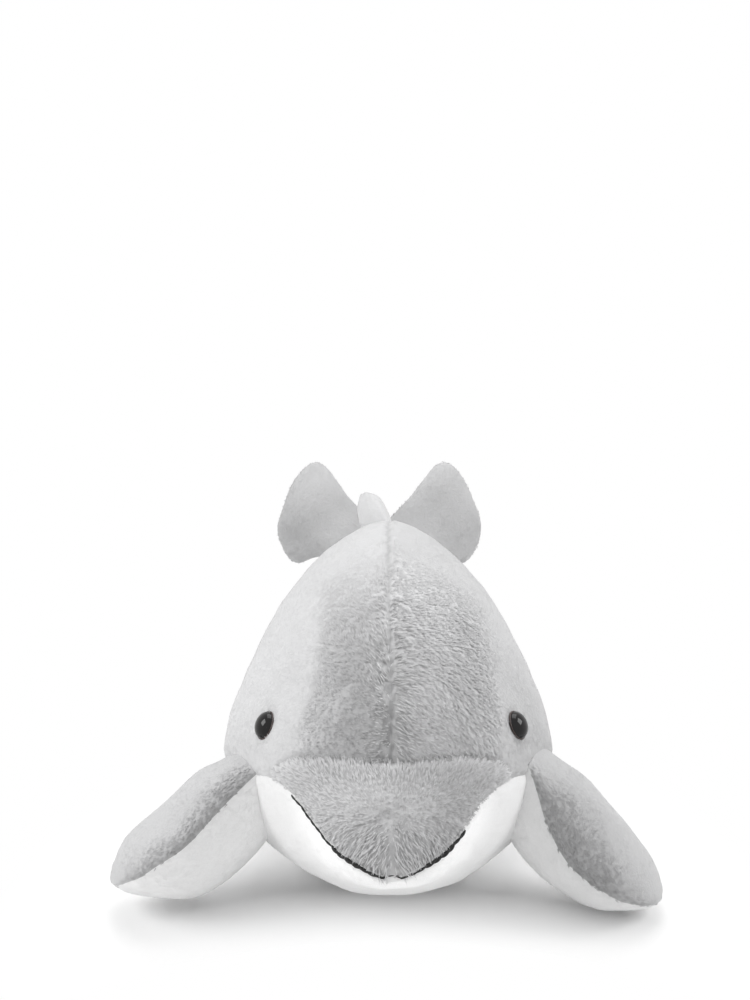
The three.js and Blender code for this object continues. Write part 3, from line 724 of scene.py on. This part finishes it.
limb_clumps = 1.1
bare_end_rows = 3
short_length, short_height = 1.0, 0.12
joints = {joint["name"]: joint for joint in frame["joints"]}
root_bends = {}


def within_body(points):
    """True for points inside the stuffed body, where no pile shows."""
    places = np.clip(points[..., 1] * 1000, body_stations[0, 0], body_stations[-1, 0])
    half, seam, rise, drop, bend = np.moveaxis(station_sizes(body_stations, places), -1, 0)
    up = points[..., 2] * 1000 - seam
    power = np.where(up >= 0, back_power, belly_power)
    across = np.abs(points[..., 0] * 1000 - bend) / half
    share = across**power + (np.abs(up) / np.where(up >= 0, rise, drop)) ** power
    return share < 0.9


def limb(
    name, joint, form, across, reach, root_shift, shares, coarse, fine, seed,
    bend, bend_along, spread, panels,
):
    """The two panels and the pile of one limb, placed at its joint.
    Each panel has the name of its piece, its plush and the look of its pile."""
    hinge = np.array(joints[joint]["pos_m"])
    x = np.array(across, float)
    x /= np.linalg.norm(x)
    y = np.array(reach, float)
    y -= x * (x @ y)
    y /= np.linalg.norm(y)
    turn = np.stack((x, y, np.cross(x, y)))
    edge_seams = [(0.0, 0, 1), (math.pi, 0, 1)]
    share, angle, skin, up = sewn_skin(
        name, form, coarse, fine, edge_seams, [], shares=shares, pucker=0.12, draw=0.2,
    )
    skin = (skin + np.array(root_shift) / 1000) @ turn + hinge
    up = grid_normals(skin)
    skin[..., 2] = np.maximum(skin[..., 2], limb_floor_gap)
    nap = spread(skin, hinge, turn)
    root_bends[name] = tuple(hinge + distance * turn[bend_along] for distance in bend)
    half = fine[1] // 2
    for part, (piece_name, shade, look) in enumerate(panels):
        node = piece_name + "_panel"
        backing, pile = plush[shade]
        columns = (part * half, part * half + half)
        length, height, tone, velvet = look(skin, share[:, None], angle[None, :])
        panel = panel_piece(piece_name, skin, (0, fine[0] - 1), columns, backing, tone)
        tufts = pile_piece(
            piece_name + "_pile", skin, up, nap, (bare_end_rows, fine[0] - 1 - bare_end_rows), columns, pile,
            seed + part, limb_clumps, length, height, tone, velvet, hidden=within_body,
        )
        for piece in (panel, tufts):
            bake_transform(piece)
        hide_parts(node)


def towards_tip(skin, hinge, turn):
    """Pile brushed from the root to the tip."""
    return unit(np.gradient(skin, axis=0))


def away_from_root(skin, hinge, turn):
    """Pile brushed out from a point behind the root."""
    return unit(skin - (hinge - 0.02 * turn[0]))


def top_with_painted_shade(front, outer_painted_shade, band_painted_shade):
    """The grey of a flipper: smooth and short, with a band of raised pile along its front seam. Painted shade
    darkens the band, where the panel curves down to the seam, and the outer part a little.
    """
    def look(skin, share, angle):
        from_front = np.arccos(np.clip(front * np.cos(angle), -1, 1)) + 0.18 * soft_noise(skin, 0.02, 17)
        band = 1 - np.clip((from_front - 0.1) / np.clip(1.3 - 0.7 * share, 0.3, 2), 0, 1)
        band = eased(band) * np.clip(1.9 - 1.6 * share, 0, 1)
        tone = outer_painted_shade + (band_painted_shade - outer_painted_shade) * band
        return short_length + 1.5 * band, short_height + 0.45 * band, tone, 1 - band
    return look


def smooth_pile(tone, cloud=0.0):
    """Short pile that lies flat, a little darker and paler in soft patches."""
    def look(skin, share, angle):
        return short_length, short_height, tone + cloud * soft_noise(skin, 0.03, 18), 1.0
    return look


# The flipper at the right of the picture gets the deeper painted shade on its top; the white underside of the
# other is a little paler.
flippers = (
    (
        "flipper_left", flipper_left_stations, 1.0, -3.0, (0.606858, -0.211322, -0.766202),
        top_with_painted_shade(1.0, -0.15, -0.28), smooth_pile(0.0),
    ),
    (
        "flipper_right", flipper_right_stations, -1.0, -8.0, (-0.613615, -0.264541, -0.743972),
        top_with_painted_shade(-1.0, -0.06, -0.2), smooth_pile(0.14),
    ),
)
for seed, (name, stations, turn_way, sweep, reach, top_look, under_look) in enumerate(flippers):
    stations[:, 5] = turn_way * stations[:, 0] * math.tan(math.radians(sweep))
    limb(
        name, name + "_flex", stuffed_form(stations, end_rounding=22.0),
        across=joints[name + "_flex"]["axis"], reach=reach, root_shift=limb_root_shift,
        shares=(0.0, 0.99998), coarse=(38, 40), fine=(96, 120), seed=40 + 4 * seed,
        bend=(-0.004, 0.026), bend_along=1, spread=towards_tip,
        panels=(
            (name + "_top", "grey", top_look),
            (name + "_under", "white", under_look),
        ),
    )

limb(
    "dorsal_fin", "dorsal_fin_flex", stuffed_form(fin_stations, end_rounding=11.0),
    across=joints["dorsal_fin_flex"]["axis"], reach=(-0.499482, 0.472399, 0.726193),
    root_shift=limb_root_shift,
    shares=(0.0, 0.9999), coarse=(24, 32), fine=(56, 96), seed=60,
    bend=(-0.002, 0.012), bend_along=1, spread=towards_tip,
    panels=(
        ("dorsal_fin_left", "grey", smooth_pile(0.06)),
        ("dorsal_fin_right", "grey", smooth_pile(0.06)),
    ),
)

# The flukes are one form from tip to tip, and each lobe is the half on its own side of the middle seam.
fluke_tips = fluke_half[:0:-1] * (-1, 1, 1, 1, 1, 1)
fluke_form = stuffed_form(np.concatenate((fluke_tips, fluke_half)), start_rounding=14.0, end_rounding=14.0)
for seed, (name, lobe) in enumerate((("fluke_left", (0.0001, 0.4985)), ("fluke_right", (0.5015, 0.9999)))):
    limb(
        name, "fluke_flex", fluke_form,
        across=(0.0, 0.669131, 0.743145), reach=(-1.0, 0.0, 0.0), root_shift=(-16 / 9, 0.0, 0.0),
        shares=lobe, coarse=(26, 32), fine=(64, 96), seed=70 + 4 * seed,
        bend=(0.0, 0.014), bend_along=0, spread=away_from_root,
        panels=(
            (name + "_top", "grey", smooth_pile(-0.22, 0.12)),
            (name + "_under", "grey", smooth_pile(-0.22, 0.12)),
        ),
    )

# Eyes: moulded black domes with a fine brown edge, each held by a shank and a lock washer inside.
# The dome is polished, so it mirrors the light above it and the floor below. Sizes are in mm.
eye_radius = 5.0
eye_base = -1.4
eye_rim = 0.8
eye_rise = 3.4
eye_sink = 0.9
eye_edge_radius = 0.3
shank_length = 7.0
pole = 0.001


def mottled_material(name, finish, *mottle_values, gloss=None):
    """A material with mottled colour. Its roughness may follow the mottle, between two values."""
    made, tree, shader = new_material(name, finish)
    mottled = add_mottle(tree, *mottle_values)
    set_inputs(tree, shader, {"Base Color": mottled["Color"]})
    if gloss is not None:
        low, high = gloss
        rough = add_node(tree, "MapRange", {"Value": mottled["Grain"], "To Min": low, "To Max": high})
        set_inputs(tree, shader, {"Roughness": rough["Result"]})
    return made


def turned_piece(name, outline, place, sides=64):
    """A smooth turned piece from an outline of radius and height in mm."""
    outline = np.array(outline)
    angle = np.arange(sides + 1) * 2 * math.pi / sides
    ring = np.stack((
        outline[:, :1] * np.cos(angle), outline[:, 1:] + 0 * angle, outline[:, :1] * -np.sin(angle),
    ), -1) / 1000
    faces = grid_faces(len(outline), sides + 1)[:, ::-1]
    made = mesh_from(name, ring.reshape(-1, 3), faces, map_places(0, 1, len(outline), sides + 1)[faces])
    made.data.transform(place)
    return made


eye_black = mottled_material(
    "eye_black", {"Specular IOR Level": 0.05, "Coat Weight": 0.5, "Coat Roughness": 0.03},
    (0.004, 0.0035, 0.0035, 1.0), (0.009, 0.008, 0.008, 1.0), 700.0, gloss=(0.06, 0.14),
)
eye_edge = mottled_material(
    "eye_edge", {"Roughness": 0.35}, (0.015, 0.009, 0.008, 1.0), (0.07, 0.04, 0.035, 1.0), 400.0,
)
rim_at = eye_base + eye_rim
for side, at, outward in (
    ("left", eye_left_at, (0.835192, -0.257465, 0.48597)),
    ("right", eye_right_at, (-0.835192, -0.257465, 0.48597)),
):
    y = Vector(outward).normalized()
    x = Vector((0, 0, 1)).cross(y).normalized()
    place = Matrix((x, y, x.cross(y))).transposed().to_4x4()
    place.translation = Vector(at) - eye_sink / 1000 * y
    shank_end = eye_base - shank_length
    shank = [(pole, shank_end), (1.5, shank_end), (1.6, eye_base), (eye_radius, eye_base)]
    turns = np.linspace(0, math.pi / 2, 22)
    dome = [(eye_radius * math.cos(t), rim_at + eye_rise * math.sin(t)) for t in turns]
    dome[-1] = (pole, rim_at + eye_rise)
    eye = turned_piece("eye_dome_" + side, shank + dome, place)
    eye.data.materials.append(eye_black)
    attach(eye, "body")
    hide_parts("eye_" + side)
    bead = [(math.cos(t), math.sin(t)) for t in np.linspace(0, 2 * math.pi, 13)]
    bead = [(eye_radius + 0.1 + eye_edge_radius * out, rim_at + eye_edge_radius * up) for out, up in bead]
    rim = turned_piece("eye_edge_" + side, bead, place)
    rim.data.materials.append(eye_edge)
    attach(rim, "body")

washer_colour = (0.74, 0.72, 0.66, 1.0)
washer_white = mottled_material(
    "washer_white", {}, washer_colour, washer_colour, 500.0, gloss=(0.4, 0.6),
)
for side in ("left", "right"):
    washer = frame["nodes"]["eye_washer_" + side]
    washer.data.materials.clear()
    washer.data.materials.append(washer_white)

# Mouth: a row of thick black stitches in the seam between the beak and the white jaw. Each stitch dives
# into the fabric at both ends, and two plies of thread twist round each other.
mouth_end_left, mouth_end_right = -129.0, -115.5
mouth_lift = 0.0016
stitch_length = 0.0062
stitch_overlap = 0.0004
stitch_rise, stitch_sunk = 0.0003, 0.0001
thread_radius = 0.00028
thicker_left, thicker_right, thicker_width = 0.018, 0.013, 0.0065
thread_black = mottled_material(
    "thread_black", {"Roughness": 0.75, "Sheen Weight": 0.1},
    (0.004, 0.004, 0.004, 1.0), (0.016, 0.016, 0.016, 1.0), 2500.0,
)

mouth_corners = (np.array((mouth_end_left, mouth_end_right)) - body_stations[0, 0]) / body_length
mouth_turn = np.linspace(-1, 1, 900)
tip_share = 0.0008
mouth_reach = np.where(mouth_turn < 0, mouth_corners[0], mouth_corners[1]) - tip_share
mouth_share = tip_share + mouth_reach * np.abs(mouth_turn) ** 1.6
seam_share = share + crease_shift(share, 0.0)
seam_columns = [0, body_columns // 2]
seam_line = body_skin[:, seam_columns] + mouth_lift * unit(body_up[:, seam_columns])


def along_seam(side, axis):
    """One coordinate of the mouth's line, if it ran along the seam on one side."""
    return np.interp(mouth_share, seam_share, seam_line[:, side, axis])


mouth_line = np.stack([
    np.where(mouth_turn < 0, along_seam(0, axis), along_seam(1, axis)) for axis in range(3)
], -1)
mouth_run = np.concatenate(([0], np.cumsum(np.linalg.norm(np.diff(mouth_line, axis=0), axis=-1))))
stitches = int(mouth_run[-1] / stitch_length)
steps, sides = 14, 8
points, faces = [], []
chance = np.random.default_rng(3)
for stitch in range(stitches):
    low = stitch * mouth_run[-1] / stitches - stitch_overlap
    high = (stitch + 1) * mouth_run[-1] / stitches + stitch_overlap
    run = np.linspace(low, high, steps)
    line = np.stack([np.interp(run, mouth_run, mouth_line[:, axis]) for axis in range(3)], -1)
    ahead = unit(np.gradient(line, axis=0))
    out = line - np.array([0.0, line[:, 1].mean() + 0.02, line[:, 2].mean()])
    out = unit(out - ahead * (out * ahead).sum(-1, keepdims=True))
    over = np.cross(ahead, out)
    arch = np.sin(np.linspace(0, math.pi, steps)) ** 0.6
    across = line[:, 0].mean()
    patch = bell(abs(across) - (thicker_left if across > 0 else thicker_right), thicker_width)
    thick = thread_radius * (chance.uniform(0.8, 1.25) + 1.3 * patch)
    for ply in range(2):
        twist = np.linspace(0, 2.2 * math.pi, steps) + ply * math.pi
        middle = line + out * (arch * stitch_rise - stitch_sunk)[:, None]
        middle = middle + (out * np.sin(twist)[:, None] + over * np.cos(twist)[:, None]) * thick * 0.55
        turn = np.arange(sides) * 2 * math.pi / sides
        tube = middle[:, None] + thick * (0.7 + 0.2 * arch)[:, None, None] * (
            out[:, None] * np.sin(turn)[None, :, None] + over[:, None] * np.cos(turn)[None, :, None]
        )
        first = sum(len(p) for p in points)
        points.append(tube.reshape(-1, 3))
        for step in range(steps - 1):
            a = first + step * sides
            b = a + sides
            faces += [(a + i, a + (i + 1) % sides, b + (i + 1) % sides, b + i) for i in range(sides)]
mouth = mesh_from("mouth_stitches", np.concatenate(points), np.array(faces))
mouth.data.materials.append(thread_black)
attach(mouth, "body")
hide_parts("mouth_stitch")

# Filling: loose white fibre, packed into the body and each limb through a gap in a seam.
# It is closed in by the panels, and its surface is lumpy where handfuls were pushed in.
wadding_depth, wadding_lumps = 0.0018, 0.0009
tail_share, limb_share, fluke_share = 0.9, 0.85, 0.5
wadding_white = mottled_material(
    "wadding_white", {"Roughness": 1.0}, (0.7, 0.68, 0.64, 1.0), (0.9, 0.88, 0.85, 1.0), 300.0, 6.0, 2.0,
)
for name, body in (
    ("body", "body"), ("flipper_left", "flipper_left"), ("flipper_right", "flipper_right"),
    ("dorsal_fin", "dorsal_fin"), ("fluke_left", "flukes"), ("fluke_right", "flukes"),
):
    node = name + "_filling"
    source = frame["nodes"][node]
    mesh = source.data.copy()
    mesh.transform(source.matrix_world)
    mesh.materials.clear()
    mesh.materials.append(wadding_white)
    wadding = bpy.data.objects.new(name + "_wadding", mesh)
    scene.collection.objects.link(wadding)
    round_off = wadding.modifiers.new("round", "SUBSURF")
    round_off.levels = round_off.render_levels = 1
    with bpy.context.temp_override(object=wadding, active_object=wadding):
        bpy.ops.object.modifier_apply(modifier="round")
    count = len(wadding.data.vertices)
    points, up = np.zeros(count * 3), np.zeros(count * 3)
    wadding.data.vertices.foreach_get("co", points)
    wadding.data.vertex_normals.foreach_get("vector", up)
    points, up = points.reshape(-1, 3), up.reshape(-1, 3)
    if body == "body":
        points[:, 1] = np.where(points[:, 1] > 0, tail_share * points[:, 1], points[:, 1])
    else:
        drawn = fluke_share if body == "flukes" else limb_share
        points = points.mean(0) + drawn * (points - points.mean(0))
    lumps = 0.5 + 0.5 * soft_noise(points, 0.02, 31)
    points = points - up * (wadding_depth + wadding_lumps * lumps)[:, None]
    wadding.data.vertices.foreach_set("co", points.ravel())
    wadding.data.update()
    if body == "body":
        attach(wadding, body)
    else:
        start, end = root_bends[name]
        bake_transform(wadding)
    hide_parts(node)

# Floor and light: a white studio floor that keeps the soft shadow under the toy, two large soft lamps at
# the sides, the stronger one at the left of the picture, and a larger one above and behind.
# The shadow fades to white round the head, and sooner in front of the jaw. Distances are in metres.
shadow_middle = (0.0, -0.1, 0.0)
shadow_inner, shadow_outer = 0.09, 0.145
front_start, front_end, front_bow = -0.07, -0.108, 2.8
floor_half = 6.0
sky_thrown, sky_seen = 0.52, 1.0


def seen(tree):
    """1 for what the camera sees, also in a mirror or through glass, and 0 for the light that is thrown."""
    ray = add_node(tree, "LightPath", {})
    mirrored = add_node(
        tree, "Math", {0: ray["Is Glossy Ray"], 1: ray["Is Transmission Ray"]}, operation="MAXIMUM",
    )
    return add_node(tree, "Math", {0: ray["Is Camera Ray"], 1: mirrored[0]}, operation="MAXIMUM")[0]


floor_mesh = bpy.data.meshes.new("floor")
floor_corners = [(x * floor_half, y * floor_half, 0) for x, y in ((-1, -1), (1, -1), (1, 1), (-1, 1))]
floor_mesh.from_pydata(floor_corners, [], [(0, 1, 2, 3)])
floor = bpy.data.objects.new("floor", floor_mesh)
scene.collection.objects.link(floor)
floor_white = bpy.data.materials.new("floor_white")
floor_white.use_nodes = True
tree = floor_white.node_tree
tree.nodes.clear()
where = add_node(tree, "TexCoord", {})["Object"]
from_middle = add_node(tree, "VectorMath", {0: where, 1: shadow_middle}, operation="DISTANCE")
edge = add_node(
    tree, "MapRange", {"Value": from_middle["Value"], "From Min": shadow_inner, "From Max": shadow_outer},
    interpolation_type="SMOOTHSTEP",
)
apart = add_node(tree, "SeparateXYZ", {0: where})
square = add_node(tree, "Math", {0: apart["X"], 1: apart["X"]}, operation="MULTIPLY")
bowed = add_node(tree, "Math", {0: square[0], 1: front_bow, 2: apart["Y"]}, operation="MULTIPLY_ADD")
in_front = add_node(tree, "MapRange", {"Value": bowed[0], "From Min": front_start, "From Max": front_end})
past_shadow = add_node(tree, "Math", {0: edge["Result"], 1: in_front["Result"]}, operation="MAXIMUM")
shown = add_node(tree, "Math", {0: seen(tree), 1: past_shadow[0]}, operation="MULTIPLY")
matt = add_node(tree, "BsdfDiffuse", {"Color": (0.92, 0.92, 0.92, 1.0)})
glow = add_node(tree, "Emission", {"Color": (1.0, 1.0, 1.0, 1.0)})
cover = add_node(tree, "MixShader", {"Fac": shown[0], 1: matt[0], 2: glow[0]})
add_node(tree, "OutputMaterial", {"Surface": cover[0]})
floor_mesh.materials.append(floor_white)

world = bpy.data.worlds.new("studio")
scene.world = world
world.use_nodes = True
tree = world.node_tree
level = add_node(tree, "MapRange", {"Value": seen(tree), "To Min": sky_thrown, "To Max": sky_seen})
set_inputs(tree, tree.nodes["Background"], {"Color": (1.0, 1.0, 1.0, 1.0), "Strength": level["Result"]})

lamps_aim = Vector((0.0, -0.05, 0.06))
for name, place, size, power in (
    ("lamp_left", (-0.95, -0.15, 0.75), 0.6, 7.1),
    ("lamp_right", (0.95, 0.0, 0.75), 0.6, 6.2),
    ("lamp_top", (0.05, 0.45, 1.15), 0.9, 6.6),
):
    lamp_data = bpy.data.lights.new(name, "AREA")
    lamp_data.size = size
    lamp_data.energy = power
    lamp = bpy.data.objects.new(name, lamp_data)
    lamp.location = place
    lamp.rotation_euler = (lamps_aim - Vector(place)).to_track_quat("-Z", "Y").to_euler()
    scene.collection.objects.link(lamp)

bpy.context.view_layer.update()
